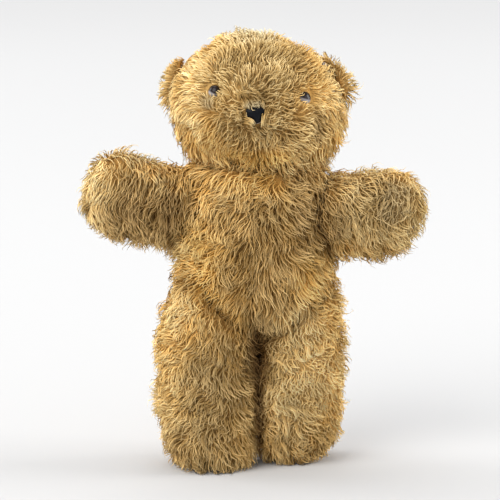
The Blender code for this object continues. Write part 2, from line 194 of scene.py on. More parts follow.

# Where the pile has another colour or painted shade: centre and half sizes in millimetres, and strength
plushPlaces = {
    "golden": (
        (-52, -30, 270, 24, 40, 22, 0.6),  # left cheek
        (52, -30, 300, 16, 30, 14, 0.9),  # beside the right eye
        (56, -25, 272, 18, 40, 24, 0.6),  # right cheek
        (0, -45, 250, 46, 30, 9, 0.8),  # under the chin
        (-10, -36, 232, 40, 30, 12, 0.7),  # neck
        (-48, -22, 160, 24, 50, 34, 1),  # left waist
        (-64, -10, 95, 18, 60, 60, 0.6),  # outside of the left leg
        (46, -22, 150, 20, 50, 30, 0.9),  # right hip
        (62, -10, 85, 14, 60, 70, 1),  # outside of the right leg
        (40, 30, 230, 50, 30, 30, 0.6),
    ),
    "pale": (
        (0, 0, 355, 60, 70, 14, 0.3),  # crown
        (-72, 10, 304, 12, 30, 30, 0.9),  # left ear
        (-50, -30, 316, 26, 40, 24, 1),  # over the left eye: paler tone and painted light from the left
        (-56, -30, 288, 22, 40, 26, 1),  # left cheek: paler tone and painted light from the left
        (54, -30, 288, 18, 40, 26, 0.6),
        (-126, 0, 226, 16, 60, 36, 0.9),  # end of the left arm
        (-95, 0, 250, 30, 60, 9, 0.7),
        (128, 0, 206, 12, 60, 34, 0.6),  # end of the right arm
        (95, 10, 240, 34, 60, 8, 0.6),
        (76, 12, 316, 16, 30, 18, 0.9),  # rim of the right ear
        (38, -28, 78, 34, 40, 66, 0.95),  # right leg
        (70, 8, 306, 22, 40, 30, 0.75),  # right ear
        (62, -10, 80, 18, 60, 80, 0.6),
        (4, -50, 268, 30, 30, 10, 0.5),  # under the nose
        (-60, -20, 132, 16, 40, 32, 0.8),  # left hip
        (-68, -20, 60, 10, 40, 40, 0.5),
        (-36, -45, 4, 34, 30, 9, 0.8),  # fringe of the left foot
        (-38, -36, 90, 26, 40, 44, 0.35),  # left thigh
    ),
    "straw": (
        (2, -40, 325, 44, 60, 40, 0.85),  # forehead
        (2, -56, 284, 36, 30, 24, 0.7),  # muzzle
        (40, -36, 268, 26, 30, 20, 0.6),
        (95, -20, 205, 46, 60, 36, 0.8),  # right arm
        (-95, -20, 205, 46, 60, 36, 0.6),  # left arm
        (26, -30, 45, 30, 50, 50, 0.35),  # right shin
        (-40, -35, 50, 38, 50, 50, 0.75),  # left shin
    ),
    # Grime, and painted shade in the fold of the right cheek and in the crotch
    "grimeAndShade": (
        (-88, -24, 206, 34, 50, 28, 1),  # left arm, in front
        (104, -24, 212, 22, 50, 22, 0.5),  # end of the right arm
        (78, -24, 195, 22, 50, 30, 0.3),
        (45, -35, 200, 24, 40, 40, 1),  # chest, towards the right arm
        (8, -40, 200, 40, 40, 24, 0.65),
        (8, -40, 165, 36, 40, 46, 0.75),  # belly
        (0, -58, 300, 22, 26, 10, 0.35),  # muzzle
        (0, -50, 322, 26, 30, 18, 0.3),  # forehead
        (50, -34, 279, 4.5, 30, 18, 0.7),  # fold of the right cheek: painted shade in the fold
        (-26, -37, 65, 28, 50, 60, 0.6),  # inside of the left leg
        (4, -25, 95, 16, 60, 36, 1),  # crotch: painted shade
        (-35, -35, 15, 50, 60, 30, 0.5),  # left foot
        (35, -25, 18, 45, 60, 26, 0.3),  # right foot
        (10, 50, 185, 50, 30, 40, 0.45),  # back
    ),
    # painted shade in the hollows
    "shaded": (
        (4, -20, 88, 8, 40, 30, 1),  # painted shade between the legs
        (4, -10, 50, 5, 40, 40, 0.8),
        (-66, -20, 208, 9, 50, 30, 0.5),  # painted shade in the armpits
        (66, -20, 200, 7, 50, 28, 0.35),
        (-96, -30, 216, 22, 50, 18, 0.22),  # painted shade on the front of the left arm
    ),
    "ashen": (
        (-37, -38, 296, 6, 20, 6, 0.6),  # under the left eye
        (0, -60, 296, 9, 12, 4, 0.6),  # over the nose
        (0, 0, 355, 60, 60, 14, 0.95),  # top of the head
        (70, 0, 332, 12, 40, 8, 0.7),  # top of the right ear
        (110, -24, 214, 14, 30, 16, 0.3),  # matted end of the right arm
        (80, 0, 244, 30, 30, 5, 0.6),
        (-75, 0, 248, 18, 30, 6, 0.6),
    ),
}

rootShare = (0.50, 0.41, 0.29)  # painted shade: the share of the strands' colour that is left at their roots, on the backing, and in the creases


def newMaterial(name, roughness, shine=0.5):  # with its graph and the place on the piece
    material = bpy.data.materials.new(name)
    material.use_nodes = True
    graph = Graph(material.node_tree, material.node_tree.nodes["Principled BSDF"])
    graph.shader.inputs["Roughness"].default_value = roughness
    graph.shader.inputs["Specular IOR Level"].default_value = shine
    return material, graph, graph.wire("ShaderNodeTexCoord", None, None, "Object")


def patchOf(graph, place, spots, seed):  # how strongly a point belongs to the spots, from 0 to 1
    wander = (graph.noise(place + (seed, seed, seed), 42.0, 3.0) - 0.5) * 1.2
    total = None
    for *sizes, strength in spots:
        centre = tuple(size / perMetre for size in sizes[:3])
        offset = (place - centre) * tuple(perMetre / size for size in sizes[3:])
        spot = (1.0 - graph.smooth(offset.length() + wander, 0.45, 1.35)) * strength
        total = spot if total is None else total.atLeast(spot)
    return total


def plushTones(graph, place, crease):  # the pile's colour along its length and at its tips, with painted shade in the creases
    patchy = graph.smooth(graph.noise(place, 24.0, 3.0), 0.45, 0.70) * 0.45
    shares = [patchOf(graph, place, spots, index * 0.7) for index, spots in enumerate(plushPlaces.values())]
    shares[1] = shares[1].atLeast(patchy)
    mixed = []
    for end in range(2):
        tone = (*plushColours["plain"][end], 1)
        for share, name in zip(shares, plushPlaces):
            tone = graph.mix(share, tone, (*plushColours[name][end], 1))
        # painted shade: darker in the creases near the joints
        mixed.append(graph.mix(crease * 0.80, tone, tone * rootShare))
    return mixed


def makePileMaterial():
    material, graph, place = newMaterial("goldenPile", 0.75, shine=0.0)
    along, tint, crease = (graph.painted(name) for name in ("along", "tint", "crease"))
    body, tip = plushTones(graph, place, crease)
    # painted shade: darker towards the roots, deep in the pile
    colour = graph.mix(graph.smooth(along, -0.25, 0.45), body * (0.70, 0.60, 0.46), body)
    colour = graph.mix(graph.smooth(along + tint * 0.3, 0.50, 1.20), colour, tip)
    graph.into("Base Color", colour * (0.97 + tint * 0.58))
    skin = graph.painted("rootNormal", "Vector")
    own = graph.wire("ShaderNodeNewGeometry", None, None, "Normal")
    own = own * (0.27 - own.dot(skin)).atLeast(0.12)
    graph.into("Normal", (skin + own).unit())
    for name, value in (("Weight", 0.06), ("Roughness", 0.40), ("Tint", (1.0, 0.80, 0.50, 1))):
        graph.shader.inputs[f"Sheen {name}"].default_value = value
    return material


def makeBackingMaterial():
    material, graph, place = newMaterial("plushBacking", 0.95, shine=0.1)
    body, _ = plushTones(graph, place, graph.painted("crease"))
    fibres = graph.noise(place, 900.0, 3.0)
    # the backing is darker than the pile over it: painted shade under the pile
    graph.into("Base Color", graph.mix(0.25 + fibres * 0.3, body * rootShare, body))
    graph.bump(fibres, 0.0008)
    return material


def makeSoleMaterial():  # short fuzz with dirt in patches
    material, graph, place = newMaterial("soleFuzz", 0.95, shine=0.1)
    fuzz = graph.noise(place, 1100.0, 4.0)
    dirt = graph.smooth(graph.noise(place, 60.0, 4.0), 0.35, 0.70)
    clean = graph.mix(fuzz, (0.40, 0.26, 0.10, 1), (0.86, 0.62, 0.30, 1))
    graph.into("Base Color", graph.mix(dirt * 0.6, clean, (0.26, 0.19, 0.11, 1)))
    graph.bump(fuzz + graph.noise(place, 300.0, 2.0) * 0.8, 0.0010)
    return material


def makeStuffingMaterial():
    material, graph, place = newMaterial("kapokFibre", 0.95)
    strands = graph.noise(place * (1.0, 1.0, 0.35), 420.0, 5.0)
    colour = graph.mix(graph.smooth(strands, 0.35, 0.68), (0.50, 0.43, 0.31, 1), (0.86, 0.82, 0.72, 1))
    graph.into("Base Color", colour)
    graph.bump(strands, 0.0015)
    return material


def makePlasticMaterial(name, colour, wornAndReflected, roughness, clouding, shine, paintedReflection=None):
    material, graph, place = newMaterial(name, roughness, shine=shine)
    cloudingAndReflection = graph.smooth(graph.noise(place, 260.0, 4.0), 0.45, 0.75) * clouding
    scratches = graph.smooth(graph.noise(place * (1.0, 1.0, 6.0), 700.0, 3.0), 0.58, 0.72)
    if paintedReflection:  # a painted reflection of the bright floor on one side: a point on it and the way towards it
        centre, way = paintedReflection
        depth = (place - centre).dot(Vector(way).normalized())
        cloudingAndReflection = cloudingAndReflection.atLeast(graph.smooth(depth + cloudingAndReflection * 0.001, -0.0004, 0.0012))
    graph.into("Base Color", graph.mix(cloudingAndReflection, (*colour, 1), (*wornAndReflected, 1)))
    graph.into("Roughness", roughness + cloudingAndReflection * 0.15 + scratches * 0.22)
    graph.bump(scratches, 0.00003)
    return material


# Clean and worn colour (on the eyes also the colour of the painted reflection), roughness, clouding and shine
eyeTones = ((0.014, 0.007, 0.005), (0.36, 0.33, 0.33), 0.15, 0.10, 0.25)
noseTones = ((0.001, 0.0018, 0.004), (0.006, 0.009, 0.016), 0.30, 0.3, 0.18)
washerTones = ((0.72, 0.72, 0.68), (0.60, 0.57, 0.50), 0.45, 0.5, 0.5)
pileMaterial = makePileMaterial()
backingMaterial = makeBackingMaterial()
soleMaterial = makeSoleMaterial()
stuffingMaterial = makeStuffingMaterial()
# Each eye's lower side gets a painted reflection of the bright floor
leftEyeMaterial = makePlasticMaterial("brownPlasticLeft", *eyeTones, ((-0.0318, -0.036, 0.3034), (-4, 0, -10)))
rightEyeMaterial = makePlasticMaterial("brownPlasticRight", *eyeTones, ((0.0388, -0.035, 0.299), (-3, 0, -9)))
noseMaterial = makePlasticMaterial("navyPlastic", *noseTones)
washerMaterial = makePlasticMaterial("milkyPlastic", *washerTones)
print("materials made")

# Backing cloth: each stuffed part is swelled by its filling between its sewn seams
clothOptions = {
    "voxel": 0.0082,
    "earVoxel": 0.0042,
    "inset": 0.0030,  # the cloth lies this far inside the lying pile's surface
    "seamPull": 0.0026,
    "seamWidth": 0.0055,
    "jointWidth": 0.0090,  # how far from a joint the cloth comes out to meet the next part
    "cloth": {
        "quality": 5,
        "mass": 0.2,
        "tension_stiffness": 12,
        "compression_stiffness": 12,
        "bending_stiffness": 0.4,
        "use_pressure": True,
        "uniform_pressure_force": 4.0,
        "vertex_group_mass": "pins",
    },
    "frames": 14,
    "mostSwell": 0.0025,
    "thickness": 0.0012,
    "ripple": 0.0007,  # small unevenness of the filling
    "creaseWidth": 0.0050,
    "soleRim": 0.006,  # below this the cloth settles on the floor
    "floorGap": 0.0002,
    "sewnGap": 0.0008,  # nearer to the next part there is no pile
    "soleBare": 0.0025,  # nor below this height
}

def linked(name, data):
    made = bpy.data.objects.new(name, data)
    bpy.context.scene.collection.objects.link(made)
    return made


def takeModifiers(piece):  # the piece's mesh becomes what its modifiers make of it
    depsgraph = bpy.context.evaluated_depsgraph_get()
    result = bpy.data.meshes.new_from_object(piece.evaluated_get(depsgraph))
    old = piece.data
    piece.modifiers.clear()
    piece.data = result
    bpy.data.meshes.remove(old)


def cadShape(names):  # CAD nodes in one welded bmesh
    shape = bmesh.new()
    for name in names:
        shape.from_mesh(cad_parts[name].data)
    bmesh.ops.remove_doubles(shape, verts=shape.verts, dist=weldDistance)
    return shape


def meshOf(name, shape):
    mesh = bpy.data.meshes.new(name)
    shape.to_mesh(mesh)
    shape.free()
    return mesh


def cadTree(names):
    return treeOf([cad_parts[name].data for name in names])


def treeOf(meshes):
    joined = bmesh.new()
    for mesh in meshes:
        joined.from_mesh(mesh)
    tree = BVHTree.FromBMesh(joined)
    joined.free()
    return tree


def distances(tree, points):
    return np.array([tree.find_nearest(point)[3] for point in points])


def pointsOf(mesh, normals=False):
    found = np.empty(len(mesh.vertices) * 3, np.float32)
    if normals:
        mesh.vertex_normals.foreach_get("vector", found)
    else:
        mesh.vertices.foreach_get("co", found)
    return found.reshape(-1, 3).astype(float)


def limitsOf(name):  # the lowest and highest corner of a CAD node
    shape = pointsOf(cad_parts[name].data)
    return shape.min(axis=0), shape.max(axis=0)


def setPoints(mesh, points):
    mesh.vertices.foreach_set("co", points.astype(np.float32).ravel())
    mesh.update()


def wholePart(part, panels, voxel):  # one closed surface round a part's panels and filling
    names = [name for name in (*panels, f"{part}_stuffing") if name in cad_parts]
    piece = linked(part, meshOf(part, cadShape(names)))
    remesh = piece.modifiers.new("remesh", "REMESH")
    remesh.mode = "VOXEL"
    remesh.voxel_size = voxel
    takeModifiers(piece)
    keepLargest(piece.data)
    return piece


def keepLargest(mesh):
    shape = bmesh.new()
    shape.from_mesh(mesh)
    left = set(shape.verts)
    islands = []
    while left:
        edge = [left.pop()]
        island = list(edge)
        while edge:
            vert = edge.pop()
            for link in vert.link_edges:
                other = link.other_vert(vert)
                if other in left:
                    left.remove(other)
                    island.append(other)
                    edge.append(other)
        islands.append(island)
    islands.sort(key=len)
    for island in islands[:-1]:
        bmesh.ops.delete(shape, geom=island, context="VERTS")
    shape.to_mesh(mesh)
    shape.free()


def panelDistances(points, panels):
    return [distances(cadTree([panel]), points) for panel in panels]


def seamShares(points, panels):  # 1 on a seam between two panels, 0 well inside a panel
    near = np.sort(panelDistances(points, panels), axis=0)
    return np.exp(-(((near[1] - near[0]) / clothOptions["seamWidth"]) ** 2))


def swell(piece, pins):
    options = clothOptions
    start = pointsOf(piece.data)
    group = piece.vertex_groups.new(name="pins")
    for index, share in enumerate(pins):
        group.add([index], float(min(1.0, share * 1.4)), "REPLACE")
    cloth = piece.modifiers.new("filling", "CLOTH")
    for name, value in options["cloth"].items():
        setattr(cloth.settings, name, value)
    cloth.settings.effector_weights.gravity = 0
    cloth.collision_settings.use_collision = False
    for number in range(1, options["frames"] + 1):
        bpy.context.scene.frame_set(number)
    takeModifiers(piece)
    bpy.context.scene.frame_set(1)
    moved = pointsOf(piece.data) - start
    size = np.linalg.norm(moved, axis=1, keepdims=True)
    setPoints(piece.data, start + moved * np.minimum(1, options["mostSwell"] / np.maximum(size, 1e-9)))


# How the pile lies
pileOptions = {
    "spacing": 0.00144,  # between strands
    "earSpacing": 0.00115,
    "backThinning": 0.6,  # from backStart on over backWidth
    "backStart": 0.012,
    "backWidth": 0.018,
    "tuftSpacing": 0.0041,
    "lockSpacing": 0.0110,  # tufts keep together in locks
    "mostDense": 900000.0,  # strands to a square metre
    "length": 0.0160,
    "strokeBlend": 0.003,
    "rise": 0.31,  # from 0 lying to 1 upright
    "curl": 0.11,
    "mess": 1.0,  # how much neighbouring locks and tufts differ in their way
    "width": 0.00050,
    "gather": 0.52,  # how far the strands of a tuft close up towards its tip
    "lockGather": 0.30,
    "hook": 0.26,  # how far the tips turn aside
    "strayTurn": 0.40,
    "tuftTurn": 0.25,
    "lockTurn": 0.70,
    "swirlTurn": 1.20,
    "swirlSize": 45.0,
    "waves": 0.95,
    "droop": 0.08,
    "bare": {"nose": 0.0078, "eye_left": 0.0064, "eye_right": 0.0064},  # without strands behind a button
    "rounding": 0.90,  # how round a tuft looks in the light
}


def flowOf(panel, points):  # the way the pile lies, blended from the strokes of the panel; short at a parting
    strokes = np.array(next(rows for start, rows in pileStrokes.items() if panel.startswith(start)))
    places = strokes[:, :3] / perMetre
    ways = strokes[:, 3:] / np.linalg.norm(strokes[:, 3:], axis=1, keepdims=True)
    apart = np.linalg.norm(points[:, None, :] - places[None, :, :], axis=2)
    weights = 1 / (apart + pileOptions["strokeBlend"]) ** 3
    return (weights[:, :, None] * ways[None, :, :]).sum(axis=1) / weights.sum(axis=1)[:, None]


# Strokes of pile by panel, each a place in millimetres and the way the pile lies there
pileStrokes = {
    "head_gusset": (
        (0, -50, 335, 5, 20, 100), (-25, -45, 330, -35, 20, 95), (30, -45, 328, 35, 20, 95),
        (0, -55, 314, 0, 0, 100), (-22, -52, 308, -45, 0, 85), (24, -52, 306, 35, 0, 90),
        (-18, -56, 294, -90, 0, -30), (20, -56, 293, 90, 0, -30), (1, -60, 300, 40, -50, -70),
        (1, -58, 307, 100, -30, 20), (-30, -10, 343, -60, 90, 0), (0, -10, 346, 0, 100, 0),
        (30, -10, 343, 60, 90, 0), (0, 50, 325, 0, 30, -90), (0, 58, 290, 0, 0, -100),
    ),
    "head_left": (
        (-36, -38, 314, -75, 20, 65), (-52, -20, 315, -60, 50, 50), (-46, -36, 302, -95, 30, 0),
        (-32, -42, 296, 20, -20, 100), (-58, -20, 292, -80, 40, -40), (-46, -36, 286, -80, 20, -60),
        (-28, -48, 284, -80, 10, -60), (-60, -10, 272, -50, 40, -80), (-38, -42, 268, -50, 10, -85),
        (-8, -58, 288, 80, -40, 30), (-4, -58, 283, 30, -40, 90), (-12, -56, 277, -30, 0, -95),
        (-22, -48, 258, -10, 0, -100), (-40, -32, 255, 10, -10, -100), (-60, 30, 300, -30, 60, -50),
        (-50, 40, 275, -20, 20, -90), (-25, 50, 262, -10, 0, -100), (-45, 30, 325, -30, 80, -40),
    ),
    "head_right": (
        (40, -38, 312, 55, 20, 75), (56, -22, 308, 70, 30, 50), (60, 0, 322, 80, 10, 50),
        (50, -34, 298, 80, 20, -40), (38, -42, 291, 50, -20, 90), (62, -18, 290, 60, 40, -60),
        (46, -38, 282, 40, 10, -90), (62, -15, 272, 40, 30, -85), (28, -48, 280, 60, 10, -75),
        (9, -58, 288, -70, -40, 50), (6, -58, 282, -20, -40, 90), (12, -56, 272, 20, 0, -100),
        (28, -48, 260, 10, 0, -100), (48, -34, 258, -10, 0, -100), (62, 30, 300, 30, 60, -50),
        (52, 40, 275, 20, 20, -90), (25, 50, 262, 10, 0, -100), (45, 30, 325, 30, 80, -40),
    ),
    "torso_front": (
        (0, -34, 224, -95, 0, 10), (-10, -36, 214, -80, 0, -50), (-24, -34, 222, -80, 0, -45),
        (-40, -30, 222, -60, 0, -70), (-36, -34, 206, -50, 0, -85), (14, -32, 230, -90, 0, -30),
        (-12, -30, 234, -90, 0, -20), (27, -32, 228, 0, 0, -100), (42, -28, 226, 50, 0, -85),
        (24, -35, 215, 30, 0, -95), (22, -37, 206, 60, 0, -80), (34, -35, 204, 85, 0, -50),
        (46, -32, 192, 75, 0, -70), (40, -36, 178, 50, 0, -85), (5, -38, 202, -45, 0, -90),
        (18, -39, 190, 35, 0, -95), (-15, -38, 192, -50, 0, -85), (-30, -36, 190, -60, 0, -80),
        (-48, -28, 192, -30, 0, -95), (7, -40, 172, -15, 0, -100), (18, -40, 168, 15, 0, -100),
        (-15, -40, 168, -35, 0, -95), (30, -38, 160, 25, 0, -95), (-50, -25, 174, -85, 10, 35),
        (-36, -34, 170, -75, 0, 20), (-52, -22, 156, -90, 10, -20), (-32, -36, 150, -60, 0, -80),
        (0, -40, 145, -15, 0, -100), (25, -38, 140, -25, 0, -95), (5, -35, 125, 0, 0, -100),
        (52, -25, 166, 60, 10, -60), (48, -28, 148, 60, 0, -30),
    ),
    "torso_back": (
        (0, 50, 225, 0, 20, -100), (-30, 48, 190, -35, 0, -100), (30, 48, 190, 35, 0, -100),
        (0, 55, 165, 10, 0, -100), (-20, 50, 130, 15, 0, -100), (20, 50, 130, -15, 0, -100),
    ),
    "arm_left": (
        (-55, -20, 205, -40, 0, -90), (-70, -22, 195, -45, 0, -90), (-85, -22, 215, -55, 0, -80),
        (-100, -22, 205, -15, 0, -100), (-115, -20, 208, 20, 0, -100), (-128, -10, 212, -60, 0, -70),
        (-115, -20, 225, -50, -10, -80), (-128, -4, 236, -80, -40, -30), (-106, 2, 252, 50, -60, 60),
        (-95, -4, 246, 10, -90, -40), (-80, 2, 244, 20, -90, -20), (-62, 2, 240, 20, -90, -20),
        (-136, 6, 218, -80, 0, -50), (-95, 4, 180, -20, 30, -100), (-95, 34, 215, -40, 0, -100),
        (-65, 34, 205, -30, 0, -100), (-120, 30, 220, -50, 0, -90),
    ),
    "arm_right": (
        (60, -20, 215, 45, 0, -90), (72, -22, 200, 50, 0, -90), (85, -22, 215, 30, 0, -95),
        (85, -22, 190, 50, 0, -85), (108, -22, 190, 40, 0, -90), (105, -22, 215, -20, 0, -100),
        (120, -18, 225, 40, 0, -80), (128, -10, 208, 50, 0, -80), (118, -4, 236, 50, -80, 20),
        (95, 2, 238, 20, -90, 0), (72, 2, 236, 20, -90, -20), (136, 6, 205, 70, 0, -60),
        (100, 4, 170, 30, 30, -100), (95, 34, 205, 40, 0, -100), (65, 34, 200, 30, 0, -100),
    ),
    "leg_left": (
        (-45, -36, 132, -55, 0, -80), (-66, -18, 120, -95, 10, -10), (-40, -37, 108, -50, 0, -85),
        (-66, -18, 88, -95, 10, -30), (-68, -10, 58, -98, 20, 0), (-52, -34, 70, -75, 0, -65),
        (-35, -38, 82, -35, 0, -95), (-22, -37, 105, -10, 0, -100), (-10, -28, 85, 60, 0, -80),
        (-6, 0, 60, 20, -60, -80), (-30, -40, 48, -50, 0, -85), (-54, -34, 34, -80, 0, -50),
        (-30, -45, 18, -15, -10, -100), (-48, -36, 10, -10, -80, -80), (-34, -44, 8, 0, -80, -80),
        (-20, -40, 8, 10, -80, -80), (-10, -30, 30, 50, 0, -85), (-40, 28, 110, -20, 0, -100),
        (-30, 28, 50, 10, 0, -100), (-62, 20, 80, -60, 10, -80),
    ),
    "leg_right": (
        (15, -25, 118, -75, 0, -60), (28, -27, 130, -60, 0, -75), (44, -26, 125, 20, 0, -100),
        (60, -14, 122, 80, 10, -60), (66, -8, 100, 90, 10, -30), (66, -8, 70, 90, 10, -40),
        (40, -27, 98, 20, 0, -95), (18, -26, 92, 50, 0, -80), (10, -20, 66, -40, -10, -90),
        (6, 10, 60, -20, -60, -80), (35, -27, 70, -10, 0, -100), (52, -22, 45, 50, 0, -80),
        (30, -27, 40, 10, 0, -100), (12, -24, 30, -30, 0, -90), (35, -26, 14, 10, -10, -100),
        (38, 45, 110, 20, 0, -100), (30, 42, 50, -10, 0, -100), (60, 30, 80, 60, 10, -80),
    ),
    "ear_left": (
        (-66, 15, 322, -50, 20, 80), (-72, 18, 306, -90, 20, 10), (-70, 16, 288, -70, 20, -60),
    ),
    "ear_right": (
        (60, 10, 318, -60, -10, 80), (68, 12, 328, 20, 10, 95), (78, 14, 318, 80, 10, 60),
        (82, 14, 304, 90, 10, -10), (76, 14, 286, 40, 10, -90),
    ),
}

# Where the pile differs: panels, centre and half sizes in millimetres, factors on length, rise, curl and mess
everywhere = ((0, 0, 150), (9000, 9000, 9000))
pileChanges = (
    ("head", *everywhere, (0.84, 1.1, 1.2, 1)),
    ("head", (1, -58, 296), (13, 20, 9), (0.5, 1.3, 1.5, 0.6)),  # round the nose
    ("head", (1, -58, 294), (28, 20, 18), (0.85, 1.4, 1.5, 2.4)),  # worn muzzle
    ("head", (1, -40, 345), (60, 70, 22), (0.78, 1.4, 0.55, 0.7)),  # crown
    ("head", (-27, -42, 306), (11, 20, 11), (0.36, 1.2, 1, 0.5)),  # eyes
    ("head", (36, -40, 302), (11, 20, 11), (0.36, 1.2, 1, 0.5)),
    ("head", (-52, -20, 300), (24, 40, 44), (1.05, 0.55, 0.6, 0.5)),  # sleek left cheek
    ("head", (56, 0, 336), (14, 60, 14), (0.68, 0.8, 0.8, 0.8)),
    ("head", (56, -20, 280), (18, 40, 30), (1, 0.9, 0.8, 0.7)),
    ("head", (4, -50, 262), (40, 30, 14), (1.15, 1.3, 1.4, 1.6)),  # under the nose
    ("torso_front", (10, -36, 212), (26, 30, 18), (1.05, 1.1, 1.6, 1.8)),  # chest
    ("torso_front", (20, -30, 232), (20, 30, 10), (1, 1, 2, 2.5)),
    ("torso_front", (-46, -28, 168), (26, 30, 26), (0.62, 1.5, 2.2, 4)),  # left waist
    ("arm", *everywhere, (0.92, 1.05, 1.2, 1)),
    ("arm", (0, 0, 250), (9000, 60, 16), (0.9, 0.8, 0.9, 0.7)),  # tops of the arms
    ("arm_left", (-104, 0, 252), (14, 30, 12), (1.2, 1.9, 0.8, 1)),  # tuft on top
    ("arm_left", (-126, 0, 192), (14, 60, 12), (0.72, 0.8, 1, 1)),
    ("arm_right", (136, 0, 200), (14, 60, 30), (0.85, 0.8, 1, 1)),
    ("arm_right", (108, -20, 214), (20, 30, 22), (0.9, 1, 1.9, 3.5)),  # matted end
    ("torso", *everywhere, (1, 1, 1, 0.7)),
    ("torso_back", (0, 45, 190), (9, 30, 26), (0.32, 1, 0.6, 0.5)),  # closing seam
    ("torso_front", (30, -36, 135), (22, 30, 10), (1.2, 1.3, 1, 1)),
    ("leg", *everywhere, (0.76, 1.25, 1.8, 1.3)),
    ("leg_left", (-34, -40, 4), (40, 40, 12), (1.6, 1.1, 0.5, 0.5)),  # fringe
    ("leg_right", *everywhere, (0.8, 1.15, 1.5, 1.8)),
    ("leg_right", (28, -20, 4), (24, 40, 12), (1.2, 0.9, 0.6, 0.5)),
    ("leg_right", (54, -20, 4), (20, 40, 12), (0.7, 0.8, 0.8, 1)),
    ("ear_left", *everywhere, (0.5, 1.1, 0.8, 1)),
    ("ear_left", (-70, 15, 320), (30, 30, 12), (0.7, 0.8, 1, 1)),
    ("ear_left", (-70, 15, 286), (30, 30, 10), (1.4, 1.1, 1, 1)),
    ("ear_right", *everywhere, (0.8, 1.25, 0.9, 1.4)),
    ("ear_right", (62, 15, 330), (12, 30, 10), (0.9, 0.9, 1, 1)),
    ("ear_right", (80, 15, 320), (12, 30, 14), (0.75, 0.9, 1, 1)),
    ("ear_right", (82, 15, 295), (12, 30, 12), (1.25, 1, 1, 1)),
)


def pileShape(panel, points, flow, seams, crease):
    shape = np.tile([pileOptions[name] for name in ("length", "rise", "curl", "mess")], (len(points), 1))
    for start, centre, halves, factors in pileChanges:
        if panel.startswith(start):
            offset = (points - np.array(centre) / perMetre) / (np.array(halves) / perMetre)
            share = np.exp(-(np.linalg.norm(offset, axis=1) ** 2))[:, None]
            shape *= 1 + (np.array(factors) - 1) * share
    overhang = panel.startswith("head") or (panel.startswith("torso_front") & (points[:, 2] < 0.18))
    parting = np.clip(1.3 - 1.3 * np.linalg.norm(flow, axis=1), 0, 1)  # here the pile stands up
    shape[:, 0] *= (1 - 0.15 * seams) * (1 - np.where(overhang, 0.05, 0.25) * crease) * (1 - 0.25 * parting)
    shape[:, 1] *= (1 + 1.3 * parting) * (1 + 0.6 * crease)
    shape[:, 1] = np.minimum(shape[:, 1], 0.95)
    return shape.T


def storeOn(mesh, name, values):
    kind, field = ("FLOAT_VECTOR", "vector") if values.ndim == 2 else ("FLOAT", "value")
    layer = mesh.attributes.new(name, kind, "POINT")
    layer.data.foreach_set(field, values.astype(np.float32).ravel())


def readFrom(mesh, name):
    found = np.empty(len(mesh.vertices), np.float32)
    mesh.attributes[name].data.foreach_get("value", found)
    return found.astype(float)


# Lumps and hollows in the filling: the part, and in millimetres the centre, spread and height
lumps = (
    ("leg_left", (-74, -8, 104), 13, 2), ("leg_left", (-72, -8, 80), 9, -3), ("leg_left", (-70, -8, 50), 20, 2),
    ("leg_left", (-5, -14, 12), 16, 5.5), ("leg_right", (70, 0, 108), 18, 2), ("leg_right", (70, 0, 70), 18, 2),
    ("leg_right", (9, -8, 12), 16, 5.5), ("leg_right", (64, 2, 6), 14, -1),
    ("leg_left", (-66, -8, 137), 13, -5), ("leg_right", (66, 0, 134), 14, 4.5),
    ("leg_right", (68, 0, 30), 20, 3.5), ("leg_left", (-4, -8, 100), 14, 2), ("leg_right", (8, -4, 100), 14, 2),
    ("head", (60, 0, 312), 10, 2), ("head", (50, -8, 256), 14, 3.5), ("head", (-52, -8, 260), 14, 3),
    ("head", (2, 0, 345), 24, -1.5), ("arm_right", (112, 0, 236), 18, 4), ("arm_right", (132, 0, 186), 16, -6),
    ("arm_right", (95, 0, 170), 18, 2), ("arm_left", (-104, 0, 248), 15, 3.5), ("torso", (52, 0, 238), 16, 6.5),
    ("torso", (-50, 0, 238), 14, 3), ("torso", (54, 0, 180), 14, -2.5),
)


def addLumps(part, points, normals):
    rise = np.zeros(len(points))
    for name, centre, spread, height in lumps:
        if name == part:
            offset = (points - np.array(centre) / perMetre) / (spread / perMetre)
            rise += height / perMetre * np.exp(-(np.linalg.norm(offset, axis=1) ** 2))
    ripple = np.sin(points @ (210, 90, 160)) * np.sin(points @ (-130, 170, 190) + 1.3)
    rise += clothOptions["ripple"] * ripple * np.clip(points[:, 2] / 0.02, 0, 1)
    return points + normals * rise[:, None]


def labelFaces(mesh, panels):  # the panel that each face belongs to, with ragged edges evened out
    centres = [face.center for face in mesh.polygons]
    label = np.argmin(panelDistances(centres, panels), axis=0)
    shape = bmesh.new()
    shape.from_mesh(mesh)
    shape.faces.ensure_lookup_table()
    neighbours = [
        [other.index for edge in face.edges for other in edge.link_faces if other is not face]
        for face in shape.faces
    ]
    shape.free()
    for _ in range(3):
        votes = np.zeros((len(label), len(panels)))
        votes[np.arange(len(label)), label] += 1.5
        for index, around in enumerate(neighbours):
            for other in around:
                votes[index, label[other]] += 1
        label = np.argmax(votes, axis=1)
    return label


